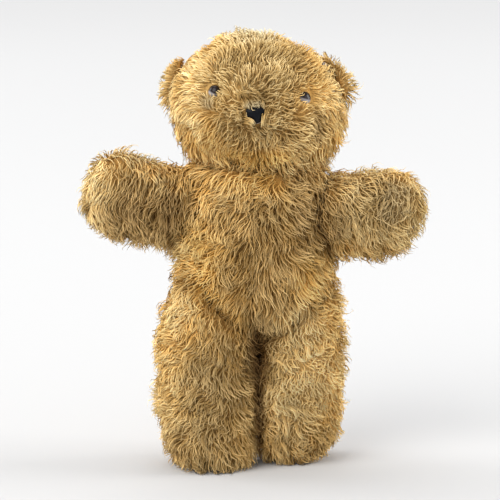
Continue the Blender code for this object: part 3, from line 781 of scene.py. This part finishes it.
def clothPanel(name, faces, points, normals, extra):  # a closed sheet of cloth from some of a part's faces
    used = sorted({index for face in faces for index in face})
    place = {index: number for number, index in enumerate(used)}
    count = len(used)
    outer = points[used]
    inner = outer - normals[used] * clothOptions["thickness"]
    shells = [tuple(place[index] for index in face) for face in faces]
    edges = {}
    for face in shells:
        for a, b in zip(face, face[1:] + face[:1]):
            edges[(a, b)] = True
    rim = [(a, b) for a, b in edges if (b, a) not in edges]
    solid = shells + [tuple(index + count for index in reversed(face)) for face in shells]
    solid += [(b, a, a + count, b + count) for a, b in rim]
    mesh = bpy.data.meshes.new(name)
    mesh.from_pydata(np.vstack((outer, inner)).tolist(), [], solid)
    mesh.polygons.foreach_set("use_smooth", np.ones(len(solid), bool))
    for key, values in extra.items():
        storeOn(mesh, key, np.concatenate((values[used], values[used])))
    outside = mesh.attributes.new("outside", "BOOLEAN", "FACE")
    outside.data.foreach_set("value", np.arange(len(solid)) < len(shells))
    mesh.materials.append(soleMaterial if name.startswith("sole") else backingMaterial)
    mesh.update()
    return linked(name, mesh)


def sewnTo(part):  # the panels that a part can meet
    names = [n for p, panels in stuffedParts.items() if p != part for n in panels if not n.startswith("sole")]
    if part.startswith("ear"):
        return [name for name in names if name.startswith("head")]
    return [name for name in names if part != "head" or not name.startswith("ear")]


def makeCloth(part, panels):
    options = clothOptions
    isEar = part.startswith("ear")
    whole = wholePart(part, panels, options["earVoxel" if isEar else "voxel"])
    points, normals = pointsOf(whole.data), pointsOf(whole.data, True)
    seams = seamShares(points, panels)
    gap = distances(cadTree(sewnTo(part)), points)
    joint = np.exp(-((gap / options["jointWidth"]) ** 2))
    inset = options["inset"] * (0.5 if isEar else 1)
    floorLift = np.clip(points[:, 2] / options["soleRim"], 0, 1)  # the soles stay on the floor
    shift = normals * ((inset + options["seamPull"] * seams) * (1 - joint))[:, None]
    shift[:, 2] *= floorLift
    setPoints(whole.data, points - shift)
    storeOn(whole.data, "seam", seams)
    storeOn(whole.data, "gap", gap)
    swell(whole, np.maximum(np.maximum(seams, joint), 1 - floorLift))
    smooth = whole.modifiers.new("smooth", "SUBSURF")
    smooth.levels = smooth.render_levels = 1
    takeModifiers(whole)
    mesh = whole.data
    normals = pointsOf(mesh, True)
    points = addLumps(part, pointsOf(mesh), normals)
    points[:, 2] = np.maximum(points[:, 2], options["floorGap"])
    label = labelFaces(mesh, panels)
    seams, gap = readFrom(mesh, "seam"), readFrom(mesh, "gap")
    thick = np.where((gap < options["sewnGap"]) | (points[:, 2] < options["soleBare"]), 0.0, 1.0)
    if not isEar:
        behind = np.clip((points[:, 1] - pileOptions["backStart"]) / pileOptions["backWidth"], 0, 1)
        thick *= 1 - pileOptions["backThinning"] * behind
    crease = np.exp(-((gap / options["creaseWidth"]) ** 2))
    # the head's seams also get a little painted shade, as creases do
    if part == "head":
        crease = np.maximum(crease, 0.25 * seams)
    faces = [tuple(face.vertices) for face in mesh.polygons]
    made = []
    for index, panel in enumerate(panels):
        extra = {"pileThick": thick, "crease": crease}
        if not panel.startswith("sole"):
            flow = extra["flow"] = flowOf(panel, points)
            shape = pileShape(panel, points, flow, seams, crease)
            extra.update(zip(("pileLength", "pileRise", "pileCurl", "pileMess"), shape))
        mine = [face for face, number in zip(faces, label) if number == index]
        made.append((panel, clothPanel(f"{panel}_cloth", mine, points, normals, extra)))
    bpy.data.objects.remove(whole)
    return made


def newGeometryTree(name, sizes):  # a tree with Geometry in and out and a named number for each size
    tree = bpy.data.node_groups.new(name, "GeometryNodeTree")
    tree.is_modifier = True
    kinds = {label: "Int" if isinstance(size, int) else "Float" for label, size in sizes.items()}
    tree.interface.new_socket("Geometry", in_out="OUTPUT", socket_type="NodeSocketGeometry")
    for label, kind in {"Geometry": "Geometry", **kinds, "Material": "Material"}.items():
        made = tree.interface.new_socket(label, in_out="INPUT", socket_type=f"NodeSocket{kind}")
        if label in sizes:
            made.default_value = sizes[label]
    graph = Graph(tree)
    start = graph.node("NodeGroupInput")
    return graph, {socket.name: Wire(graph, socket) for socket in start.outputs if socket.name}


def finishTree(graph, given, geometry):  # a plain, smooth mesh in the given material
    geometry = graph.pipe("RealizeInstances", graph.pipe("SetShadeSmooth", geometry))
    geometry = graph.pipe("SetMaterial", geometry, Material=given["Material"])
    graph.tree.links.new(geometry.socket, graph.node("NodeGroupOutput").inputs[0])
    return graph.tree


def scatterOn(graph, given, distance, seed):
    return graph.node("GeometryNodeDistributePointsOnFaces", {"distribute_method": "POISSON"}, {
        "Mesh": given["Geometry"],
        "Selection": graph.named("outside", "BOOLEAN"),
        "Distance Min": distance,
        "Density Max": pileOptions["mostDense"],
        "Density Factor": graph.named("pileThick"),
        "Seed": seed,
    })


def growSpikes(graph, roots, place):  # the same slim spike of three sides at every root
    index = graph.wire("GeometryNodeInputIndex")
    roots = graph.store(roots, "strandNumber", index, "INT")
    roots = graph.store(roots, "chance", graph.chance(index, 7))
    spike = graph.wire("GeometryNodeMeshCone", {"fill_type": "NGON"}, {
        "Vertices": 3, "Side Segments": 5, "Radius Top": 0.0, "Radius Bottom": 1.0, "Depth": 1.0,
    })
    spikeX, spikeY, spikeZ = place.split()
    spike = graph.store(spike, "along", spikeZ)
    spike = graph.store(spike, "across", graph.join(spikeX, spikeY, 0.0).unit())
    strands = graph.wire("GeometryNodeInstanceOnPoints", None, {"Points": roots, "Instance": spike})
    return graph.pipe("RealizeInstances", strands)


def strandWidth(graph, given, along, share):  # slim at the root and pointed at the tip
    return given["Width"] * share * (0.62 + along * 1.5 - along * along * 1.75)


def finishSpikes(graph, given, strands, path, tint, component, roots):  # place, tint and spread out on the map
    pathX, pathY, pathZ = path.split()
    path = graph.join(pathX, pathY, pathZ.atLeast(0.0006))
    strands = graph.store(graph.pipe("SetPosition", strands, Position=path), "tint", tint)
    count = graph.wire("GeometryNodeAttributeDomainSize", {"component": component}, {"Geometry": roots})
    cells = graph.maths("CEIL", graph.maths("SQRT", count))
    number = graph.named("strandNumber", "INT")
    row = graph.maths("FLOOR", number / cells)
    column = number - row * cells
    right = (column + 0.5 + graph.arrow("across").split()[0] * 0.3) / cells
    spot = graph.join(right, (row + 0.08 + graph.named("along") * 0.84) / cells, 0.0)
    return finishTree(graph, given, graph.store(strands, "OFBake", spot, "FLOAT2", "CORNER"))


def makePileTree():  # tapered strands that grow out of the cloth and lean together into tufts
    labels = (
        "Spacing", "Tuft Spacing", "Lock Spacing", "Width", "Gather", "Lock Gather", "Hook", "Stray Turn",
        "Tuft Turn", "Lock Turn", "Swirl Turn", "Swirl Size", "Waves", "Droop", "Rounding",
    )
    sizes = {label: pileOptions[label[0].lower() + label[1:].replace(" ", "")] for label in labels}
    graph, given = newGeometryTree("pileTree", {**sizes, "Seed": 1})
    place = graph.wire("GeometryNodeInputPosition")

    # one root for each strand; strands belong to the nearest tuft, and tufts to the nearest lock
    scatter = scatterOn(graph, given, given["Spacing"], given["Seed"])
    roots = Wire(graph, scatter.outputs["Points"])
    for name, radius in pileOptions["bare"].items():  # no strands behind the buttons
        low, high = limitsOf(name)
        apart = ((place - tuple((low + high) / 2)) * (1.0, 0.0, 1.0)).length()
        behind = graph.maths("LESS_THAN", apart + place.split()[1].atLeast(0.0), radius)
        roots = graph.pipe("DeleteGeometry", roots, Selection=behind)
    middle = place
    for group, spacing, extra in (("tuft", "Tuft Spacing", 50), ("lock", "Lock Spacing", 90)):
        middles = Wire(graph, scatterOn(graph, given, given[spacing], given["Seed"] + extra).outputs["Points"])
        near = {"Geometry": middles, "Sample Position": middle}
        nearest = graph.wire("GeometryNodeSampleNearest", {"domain": "POINT"}, near)
        found = {"Geometry": middles, "Value": place, "Index": nearest}
        found = graph.wire("GeometryNodeSampleIndex", {"data_type": "FLOAT_VECTOR"}, found)
        roots = graph.store(roots, f"{group}Place", found)
        chances = graph.chance(nearest, given["Seed"] + extra)
        roots = graph.store(roots, f"{group}Chance", chances)
        middle = graph.arrow(f"{group}Place")
    roots = graph.store(roots, "rootPlace", place)
    roots = graph.store(roots, "rootNormal", Wire(graph, scatter.outputs["Normal"]))
    strands = growSpikes(graph, roots, place)

    root, tuft, lock, flow = (graph.arrow(name) for name in ("rootPlace", "tuftPlace", "lockPlace", "flow"))
    up = graph.arrow("rootNormal").unit()
    ownA, ownB, ownC = graph.arrow("chance").split()
    tuftA, tuftB, tuftC = graph.arrow("tuftChance").split()
    lockA, lockB, lockC = graph.arrow("lockChance").split()
    along = graph.named("along")

    # lie along the flow, turned with the swirls, with the tuft and a little alone
    flat = (flow - up * flow.dot(up)).unit()
    swirl = graph.noise(tuft, given["Swirl Size"], 2.0) - 0.5
    wild = ownA * 2.0 - 1.0
    turn = (lockA - 0.5) * given["Lock Turn"] + (tuftA - 0.5) * given["Tuft Turn"]
    turn = (turn + wild * wild * wild * given["Stray Turn"]) * graph.named("pileMess")
    turn = swirl * given["Swirl Turn"] + turn
    spin = {"Vector": flat, "Axis": up, "Angle": turn}
    lay = graph.wire("ShaderNodeVectorRotate", {"rotation_type": "AXIS_ANGLE"}, spin)
    side = up.cross(lay)

    lift = graph.noise(tuft + (7.3, 2.9, 5.1), given["Swirl Size"] * 1.5, 1.0)
    length = graph.named("pileLength") * (0.68 + lockB * 0.24 + tuftB * 0.24 + ownB * 0.22 + (lift - 0.5) * 0.4)
    rise = graph.named("pileRise") * (0.45 + lockC * 0.5 + (lift - 0.5) * 1.0 + tuftC * 0.35 + ownC * 0.25)
    height = length * rise * (1.0 + ownB * 0.2) * (1.0 - (1.0 - along) ** 2.0)
    reach = length * (along ** 1.3) * (1.0 - rise * 0.45)
    phase = lockB * 6.3 + lift * 5.0 + tuftC * 1.0 + ownC * 0.5
    swing = along * given["Waves"] * (0.8 + lockC * 0.4) * (2 * math.pi) + phase
    bright = graph.smooth(ownB, 0.76, 0.90)  # some strands are paler, thinner and curlier
    sway = graph.named("pileCurl") * length * (along ** 0.8) * (0.6 + tuftA * 0.6 + bright * 0.9)
    bend = side * (graph.maths("SINE", swing) * sway) + up * (graph.maths("COSINE", swing) * sway * 0.7)
    hook = (lockC - 0.5 + tuftC - 0.5) * given["Hook"] * length * (along ** 2.4)
    bend = bend + side * hook - up * (graph.maths("ABSOLUTE", hook) * 0.4)
    close = (tuft - root) * (given["Gather"] * graph.smooth(along, -0.1, 0.8))
    close = close + (lock - tuft) * (given["Lock Gather"] * graph.smooth(along, 0.0, 1.1))
    close = close - up * close.dot(up)
    path = root - up * 0.0008 + up * height + lay * reach + bend + close
    path = path - graph.join(0.0, 0.0, length * (along ** 2.0) * given["Droop"])

    # thickness, set square to the strand's own direction
    way = (lay * (1.0 - rise * 0.45) + up * rise).unit()
    over = way.cross(side)
    acrossX, acrossY, _ = graph.arrow("across").split()
    thick = strandWidth(graph, given, along, 0.95 + ownA * 0.3 - bright * 0.35)
    thick = thick * (1.4 - graph.named("pileThick") * 0.4)
    path = path + side * (acrossX * thick) + over * (acrossY * thick * 0.7)

    # in the light each tuft and each lock is round: its strands face away from its middle
    aside = (root - tuft).dot(side) / given["Tuft Spacing"]
    aside = aside + (root - lock).dot(side) / given["Lock Spacing"] * 0.7
    facing = up + side * (aside * given["Rounding"]) + lay * ((along - 0.35) * given["Rounding"] * 0.3)
    strands = graph.store(strands, "rootNormal", facing.unit())
    patches = (graph.noise(tuft, given["Swirl Size"]) + graph.noise(tuft, given["Swirl Size"] * 3.4, 1.0)) * 0.8
    tint = patches + lockA * 0.44 + tuftB * 0.34 + ownA * 0.06 + bright * 0.50 - 0.83
    return finishSpikes(graph, given, strands, path, tint, "POINTCLOUD", roots)


def runTree(name, source, tree, values):  # a plain mesh of what the tree makes from the source piece
    piece = linked(name, source.data.copy())
    modifier = piece.modifiers.new("nodes", "NODES")
    modifier.node_group = tree
    sockets = {item.name: item.identifier for item in tree.interface.items_tree if item.in_out == "INPUT"}
    for label, value in values.items():
        modifier[sockets[label]] = value
    takeModifiers(piece)
    return piece


def growOn(name, points, values, tree, material):  # a piece grown on points that have values stored on them
    mesh = bpy.data.meshes.new(name)
    mesh.from_pydata(points, [], [])
    for key, stored in values.items():
        storeOn(mesh, key, np.array(stored))
    start = linked(f"{name}_places", mesh)
    piece = runTree(name, start, tree, {"Material": material})
    bpy.data.objects.remove(start)
    return piece


# Single locks that catch the eye, combed over the rest
lockOptions = {
    "strands": 16,  # in a lock
    "spread": 0.0027,  # of its roots
    "twist": 0.16,
    "stand": (0.0, 1.0, 1.1, 0.7),  # how far each of its places stands over the cloth
    "width": 0.00028,
}

# How far a lock stands over the cloth, how pale it is, and four places (x, z) from its root to its tip,
# with the lengths in tenths of a millimetre
looseLocks = (
    # over the nose
    (45, 0.9, -85, 2850, -45, 2868, -12, 2856, 8, 2818), (45, 0.7, -80, 2825, -46, 2842, -20, 2826, -4, 2790),
    (50, 0.9, 100, 2940, 72, 2900, 58, 2850, 62, 2785), (50, 0.8, 110, 2920, 85, 2880, 74, 2830, 82, 2775),
    (50, 0.9, 135, 2935, 105, 2880, 98, 2820, 112, 2768), (45, 0.6, -88, 2988, -82, 2964, -74, 2948, -58, 2930),
    (45, 0.6, -64, 2992, -58, 2968, -50, 2950, -36, 2934), (28, 0.6, -30, 2996, -18, 2974, -6, 2956, 4, 2942),
    (28, 0.6, 8, 2996, 20, 2974, 30, 2956, 36, 2942), (45, 0.6, 46, 2992, 58, 2968, 68, 2950, 78, 2932),
    # muzzle
    (45, 0.5, -140, 3010, -100, 3040, -60, 3060, -20, 3040),
    (45, 0.4, -40, 3000, -70, 3030, -100, 3060, -80, 3100), (45, 0.5, 60, 3000, 40, 3040, 0, 3060, -40, 3090),
    (40, 0.4, 100, 3030, 70, 3060, 80, 3100, 40, 3120),
    (40, 0.5, -100, 2970, -130, 3000, -110, 3040, -140, 3070),
    (60, 0.8, 170, 2880, 149, 2841, 141, 2807, 166, 2781), (60, 0.8, -3, 2722, 55, 2721, 70, 2656, 26, 2600),
    (60, 0.7, 113, 2701, 142, 2669, 133, 2624, 177, 2607),
    (60, 0.8, 176, 2721, 210, 2683, 181, 2646, 215, 2616),
    (60, 0.8, 244, 2707, 268, 2668, 245, 2620, 274, 2578),
    (60, 0.7, -167, 2930, -114, 2914, -128, 2863, -82, 2830),
    # chin
    (60, 0.8, 46, 2643, 33, 2576, 82, 2538, 43, 2478), (60, 0.8, 167, 2691, 201, 2615, 169, 2549, 235, 2483),
    (60, 0.7, 273, 2721, 298, 2664, 258, 2611, 316, 2565),
    (60, 0.8, 355, 2725, 392, 2677, 356, 2633, 415, 2597),
    (60, 0.7, 429, 2743, 484, 2700, 497, 2646, 476, 2591), (60, 0.7, -52, 2638, -65, 2575, 5, 2554, -39, 2490),
    # right leg
    (60, 0.9, 198, 467, 273, 535, 379, 491, 319, 378), (60, 1, 251, 456, 226, 390, 297, 331, 259, 233),
    (60, 0.8, 334, 379, 368, 316, 320, 275, 418, 240), (60, 0.8, 199, 214, 244, 200, 245, 151, 283, 67),
    (60, 0.7, 131, 181, 184, 180, 192, 112, 261, 22), (60, 0.7, 261, 22, 33, 282, 124, 298, 93, 182),
    (60, 0.7, 139, 408, 199, 419, 236, 352, 191, 301), (60, 0.9, 400, 1060, 453, 983, 385, 930, 461, 904),
    (60, 0.8, 483, 1010, 567, 982, 529, 904, 468, 935), (60, 0.7, 347, 1016, 310, 938, 348, 886, 408, 878),
    (60, 0.6, 108, 862, 198, 892, 288, 847, 258, 783),
    # left leg
    (60, 0.8, -446, 1123, -499, 1068, -491, 1023, -560, 977),
    (60, 0.7, -245, 982, -297, 949, -252, 900, -305, 865),
    (60, 0.7, -395, 369, -373, 299, -418, 236, -351, 197),
    (60, 0.6, -156, 444, -193, 390, -126, 338, -163, 278), (60, 0.6, -103, 612, -121, 547, -66, 499, -103, 447),
    # chest
    (60, 0.8, -111, 2128, -104, 2224, -5, 2225, -12, 2128),
    (60, 0.9, -12, 2143, 41, 2231, 117, 2195, 132, 2113), (60, 0.9, 18, 2113, 87, 2142, 155, 2068, 170, 1992),
    (60, 0.8, 293, 2310, 378, 2268, 347, 2197, 270, 2212),
    (60, 0.8, 278, 2260, 216, 2213, 277, 2150, 308, 2199),
    (60, 0.7, 542, 2160, 570, 2104, 600, 2059, 654, 2021),
    (60, 0.7, 125, 2069, 147, 2008, 216, 1973, 201, 1913),
    (60, 0.5, -533, 2214, -563, 2151, -503, 2097, -549, 2050),
    (60, 0.5, -480, 2241, -503, 2171, -488, 2100, -472, 2027),
    # left waist
    (60, 0.9, -521, 1662, -497, 1723, -411, 1716, -439, 1633),
    (60, 0.9, -553, 1589, -505, 1642, -434, 1634, -423, 1569),
)


def makeLockTree():
    graph, given = newGeometryTree("lockTree", {"Width": lockOptions["width"]})
    strands = growSpikes(graph, given["Geometry"], graph.wire("GeometryNodeInputPosition"))
    along, up = graph.named("along"), graph.arrow("rootNormal")
    ownA, ownB, _ = graph.arrow("chance").split()
    first, second, third, fourth = (graph.arrow(f"point{i}") for i in range(4))
    left = 1.0 - along
    path = first * (left * left * left) + second * (left * left * along * 3.0)
    path = path + third * (left * along * along * 3.0) + fourth * (along * along * along)
    way = (second - first) * (left * left) + (third - second) * (left * along * 2.0)
    way = way + (fourth - third) * (along * along)
    side = up.cross(way).unit()
    over = way.cross(side).unit()
    acrossX, acrossY, _ = graph.arrow("across").split()
    thick = strandWidth(graph, given, along, 0.75 + ownA * 0.5)
    path = path + side * (acrossX * thick) + over * (acrossY * thick)
    tint = graph.named("pale") + ownB * 0.9 - 0.55
    return finishSpikes(graph, given, strands, path, tint, "MESH", given["Geometry"])


def makeLocks(cloths):
    options = lockOptions
    chance = np.random.default_rng(4)
    buttons = [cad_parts[name].data for name in pileOptions["bare"]]
    tree = treeOf([cloth.data for cloth in cloths] + buttons)
    perUnit = 10 * perMetre
    points, ups, pales = [], [], []
    for height, pale, *places in looseLocks:
        spots = []
        for x, z, share in zip(places[::2], places[1::2], options["stand"]):
            found, up = tree.ray_cast(Vector((x / perUnit, -0.3, z / perUnit)), Vector((0, 1, 0)))[:2]
            spots.append(found + up.lerp(Vector((0, -1, 0)), 0.7) * (height / perUnit * share))
        for _ in range(options["strands"]):
            shift = chance.normal(size=3) * options["spread"] * 0.5
            twist = chance.normal(size=(4, 3)) * options["spread"] * options["twist"]
            points.append(np.array(spots) + shift * np.array([[1.0], [0.8], [0.6], [0.3]]) + twist)
            ups.append((shift * (1.0, 0.0, 1.0) / options["spread"] * 0.6) + (0, -1, 0))
            pales.append(pale)
    points = np.array(points)
    values = {f"point{i}": points[:, i] for i in range(4)}
    values.update(rootNormal=ups, pale=pales)
    return growOn("loose_locks", points[:, 0].tolist(), values, makeLockTree(), pileMaterial)


pileTree = makePileTree()
seed = 0
total = 0
cloths = []
for part, panels in stuffedParts.items():
    for panel, cloth in makeCloth(part, panels):
        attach(cloth, "root")
        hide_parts(panel)
        cloths.append(cloth)
        if panel.startswith("sole"):
            continue
        seed += 1
        kind = "earSpacing" if panel.startswith("ear") else "spacing"
        values = {"Seed": seed, "Material": pileMaterial, "Spacing": pileOptions[kind]}
        pile = runTree(f"{panel}_pile", cloth, pileTree, values)
        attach(pile, "root")
        triangles = sum(len(face.vertices) - 2 for face in pile.data.polygons)
        total += triangles
        print(f"{panel}: {triangles} triangles of pile")
print(f"pile made: {total} triangles")

# Hand stitches: the closing seam in the back, and round the soles
stitchOptions = {
    "length": 0.0052,  # across the seam
    "thread": 0.00036,  # half its thickness
    "spacing": 0.0044,
    "lift": 0.0016,
    "depth": 0.0012,  # of its ends in the cloth
    "tilt": 0.16,
    "backSeam": (0.166, 0.216),  # from and to which height
    "soleSeam": 0.005,  # its height
}


def makeThreadMaterial():
    material, graph, place = newMaterial("sewingThread", 0.6, shine=0.3)
    fibres = graph.noise(place, 2400.0, 2.0)
    graph.into("Base Color", graph.mix(fibres, (0.38, 0.26, 0.13, 1), (0.66, 0.50, 0.30, 1)))
    graph.bump(fibres, 0.0001)
    return material


def makeStitchTree():
    sizes = {label: stitchOptions[label.lower()] for label in ("Length", "Thread", "Lift")}
    graph, given = newGeometryTree("stitchTree", sizes)
    half = given["Length"] * 0.5
    arc = graph.wire("GeometryNodeCurveQuadraticBezier", None, {
        "Resolution": 5,
        "Start": graph.join(-half, 0.0, -stitchOptions["depth"]),
        "Middle": graph.join(0.0, 0.0, given["Lift"] * 2.0),
        "End": graph.join(half, 0.0, -stitchOptions["depth"]),
    })
    ring = {"Resolution": 5, "Radius": given["Thread"]}
    ring = graph.wire("GeometryNodeCurvePrimitiveCircle", {"mode": "RADIUS"}, ring)
    stitch = {"Curve": arc, "Profile Curve": ring, "Fill Caps": True}
    stitch = graph.wire("GeometryNodeCurveToMesh", None, stitch)
    turn = {"Vector": graph.arrow("outward")}
    turn = graph.wire("FunctionNodeAlignRotationToVector", {"axis": "Z"}, turn)
    turn = {"Rotation": turn, "Vector": graph.arrow("acrossSeam")}
    turn = graph.wire("FunctionNodeAlignRotationToVector", {"axis": "X", "pivot_axis": "Z"}, turn)
    made = {"Points": given["Geometry"], "Instance": stitch, "Rotation": turn}
    return finishTree(graph, given, graph.wire("GeometryNodeInstanceOnPoints", None, made))


def makeStitches(name, tree, rays, across):  # one stitch where each ray, a start and a way, meets the cloth
    chance = np.random.default_rng(9)
    places, outward = zip(*(clothTree.ray_cast(Vector(start), Vector(way))[:2] for start, way in rays))
    tilt = chance.normal(size=(len(places), 3)) * stitchOptions["tilt"]
    values = {"outward": outward, "acrossSeam": tilt + across}
    stitches = growOn(name, places, values, tree, threadMaterial)
    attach(stitches, "root")


clothTree = treeOf([cloth.data for cloth in cloths])
threadMaterial = makeThreadMaterial()
stitchTree = makeStitchTree()
heights = np.arange(*stitchOptions["backSeam"], stitchOptions["spacing"])
makeStitches("closing_seam", stitchTree, [((0.0, 0.3, z), (0, -1, 0)) for z in heights], (1, 0, 0))
for name in ("sole_left", "sole_right"):
    low, high = limitsOf(name)
    middle = (low + high) / 2
    count = int(math.pi * (high - low)[:2].mean() / stitchOptions["spacing"])
    rays = []
    for step in range(count):
        turn = 2 * math.pi * step / count
        way = Vector((math.cos(turn), math.sin(turn), 0))
        rays.append((Vector((middle[0], middle[1], stitchOptions["soleSeam"])) + way * 0.06, -way))
    makeStitches(f"{name}_seam", stitchTree, rays, (0, 0, 1))
print("seams stitched")

locks = makeLocks(cloths)
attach(locks, "root")
print(f"{len(looseLocks)} loose locks made")


def smoothButton(name, material):  # the eyes and the nose, rounded for the light
    shape = cadShape([name])
    for face in shape.faces:
        face.smooth = True
    for edge in shape.edges:
        edge.smooth = len(edge.link_faces) == 2 and edge.calc_face_angle() < math.radians(50)
    mesh = meshOf(f"{name}_button", shape)
    mesh.materials.append(material)
    piece = linked(f"{name}_button", mesh)
    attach(piece, "root")
    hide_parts(name)


smoothButton("eye_left", leftEyeMaterial)
smoothButton("eye_right", rightEyeMaterial)
smoothButton("nose", noseMaterial)
for name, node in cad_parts.items():  # fillings and washers keep their CAD shape
    if name.endswith("stuffing"):
        node.material_slots[0].material = stuffingMaterial
    elif "washer" in name:
        node.material_slots[0].material = washerMaterial
print("eyes, nose and fillings finished")

stageOptions = {
    "elevation": 10.5,
    "distance": 2.40,
    "lens": 218.0,
    "aimHeight": 0.1728,
    "aimSide": -0.0032,
    "floorRadius": 9.0,
    "sky": ((0.97, 0.98, 1.0, 1), 0.68),
}
areaLights = (  # place, size and power
    ("leftLight", (-3.3, 1.1, 1.33), (1.8, 2.6), 58),
    ("rightLight", (3.3, 0.2, 1.33), (1.8, 2.6), 84),
    ("topLight", (-0.2, 0.5, 1.7), (1.2, 1.2), 10),
)


def makeFloor():
    shape = bmesh.new()
    bmesh.ops.create_circle(shape, cap_ends=True, segments=96, radius=stageOptions["floorRadius"])
    mesh = meshOf("studioFloor", shape)
    material, graph, place = newMaterial("palePaper", 0.9)
    # painted shade: the floor is darker near the bear and paler far off
    away = graph.smooth(place.length(), 0.4, 3.0)
    graph.into("Base Color", graph.mix(away, (0.58, 0.58, 0.58, 1), (0.73, 0.73, 0.73, 1)))
    mesh.materials.append(material)
    linked("studioFloor", mesh)


def addLight(kind, name, place, aimHeight, power):
    data = bpy.data.lights.new(name, kind)
    data.energy = power
    light = linked(name, data)
    light.location = place
    light.rotation_euler = (Vector((0, 0, aimHeight)) - Vector(place)).to_track_quat("-Z", "Y").to_euler()
    return data


def addCamera():
    options = stageOptions
    data = bpy.data.cameras.new("camera")
    data.lens = options["lens"]
    camera = linked("camera", data)
    tilt = math.radians(options["elevation"])
    aim = Vector((options["aimSide"], 0, options["aimHeight"]))
    camera.location = aim + options["distance"] * Vector((0, -math.cos(tilt), math.sin(tilt)))
    camera.rotation_euler = (aim - camera.location).to_track_quat("-Z", "Y").to_euler()
    bpy.context.scene.camera = camera


makeFloor()
sun = addLight("SUN", "keyLight", (-1.65, -1.95, 2.07), 0, 1.82)
sun.angle, sun.color = 0.80, (1.0, 0.98, 0.95)
for name, place, size, power in areaLights:
    light = addLight("AREA", name, place, 0.18, power)
    light.shape = "RECTANGLE"
    light.size, light.size_y = size
world = bpy.data.worlds.new("studio")
world.use_nodes = True
sky = world.node_tree.nodes["Background"].inputs
sky["Color"].default_value, sky["Strength"].default_value = stageOptions["sky"]
bpy.context.scene.world = world
bpy.context.scene.view_settings.view_transform = "Standard"
addCamera()
print("floor, light and camera made")
